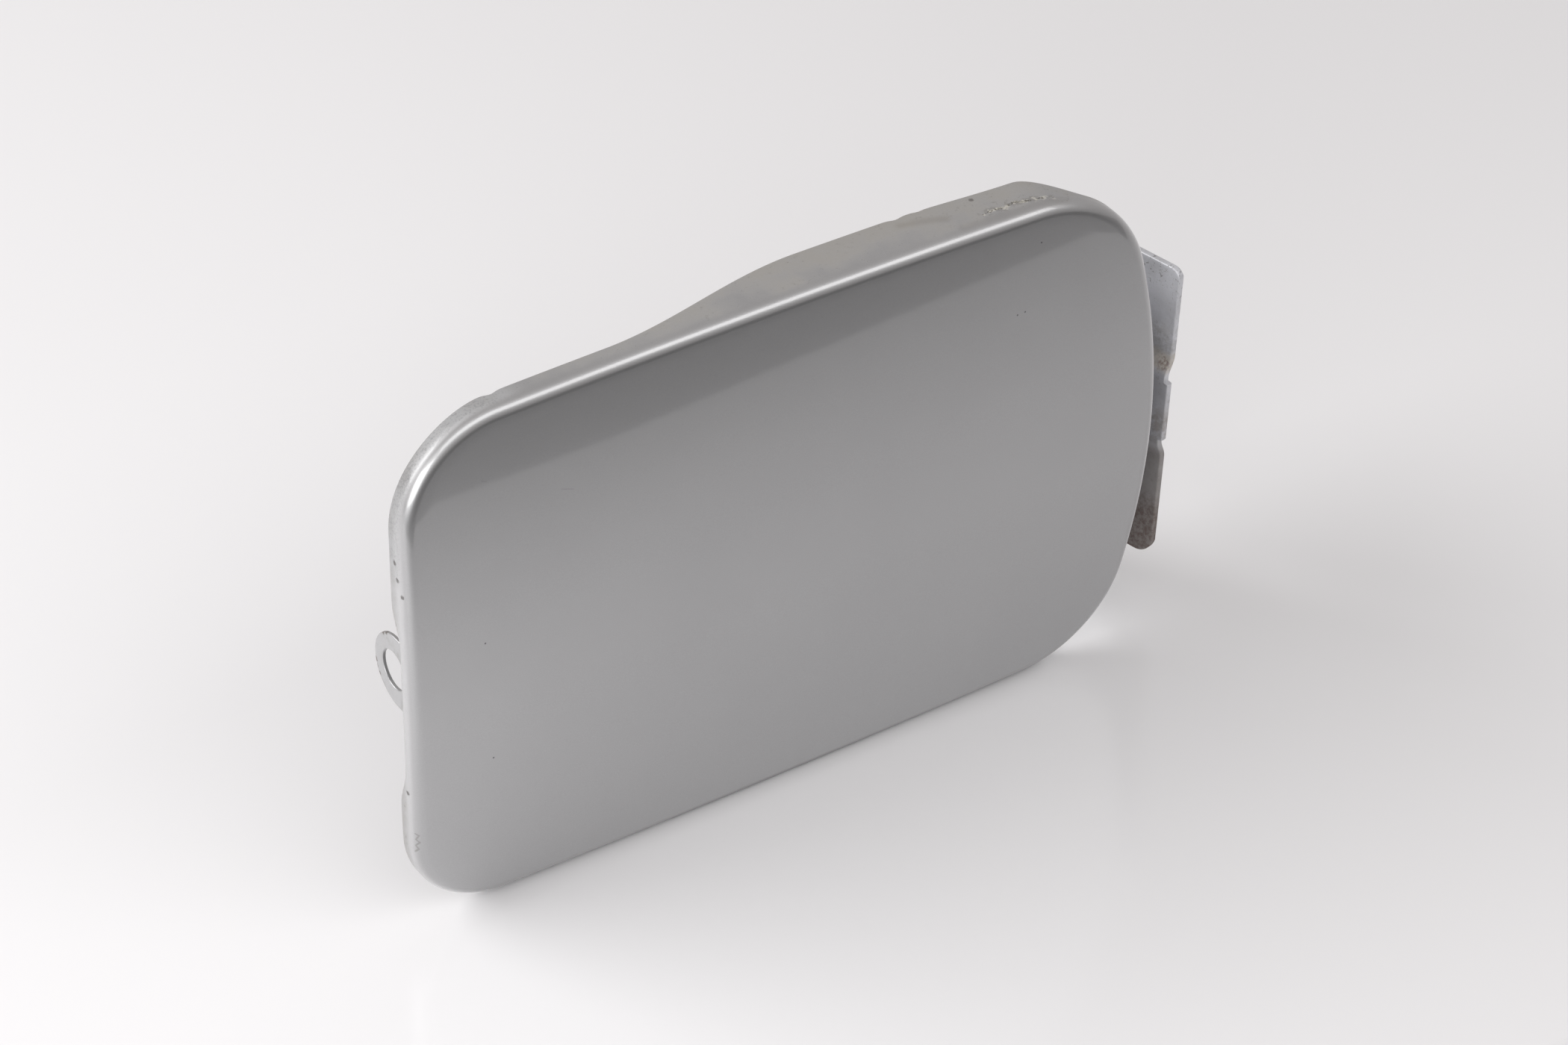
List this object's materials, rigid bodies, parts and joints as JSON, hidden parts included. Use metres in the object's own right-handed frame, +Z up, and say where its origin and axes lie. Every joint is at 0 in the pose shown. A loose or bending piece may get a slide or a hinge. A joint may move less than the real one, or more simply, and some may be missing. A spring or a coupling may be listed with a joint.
{
  "type": "fuel filler door",
  "caption": "Pressed steel fuel filler door with a rolled edge, a gooseneck hinge arm, a hinge with its base, and a catch eye for a lock bolt.",
  "frame": {"origin": "on the floor under the middle of the whole part's box, with the door standing on its lower edge", "axes": "+X along the door towards the hinge, +Y into the car, away from the painted face, +Z up along the door"},
  "size_m": [0.2002, 0.0496, 0.122],
  "materials": {
    "silver_paint": "silver metallic paint, satin, with light scratches and a cracked patch",
    "plated_steel": "dull zinc plating with light rust",
    "spring_steel": "dark oiled spring steel"
  },
  "bodies": {
    "door": {"outer_skin": "silver_paint", "hinge_arm": "silver_paint", "catch_bracket": "silver_paint", "hinge_knuckle": "plated_steel"},
    "hinge_base": {"hinge_base": "plated_steel", "hinge_pin": "plated_steel", "pin_clip": "plated_steel", "check_spring": "spring_steel", "spring_rivet": "plated_steel"}
  },
  "joints": [
    {"name": "door_hinge", "type": "hinge", "parent": "door", "child": "hinge_base", "pos_m": [0.09385, -0.0052, 0.0526], "axis": [0, 0, 1], "range_deg": [-70, 0]}
  ]
}
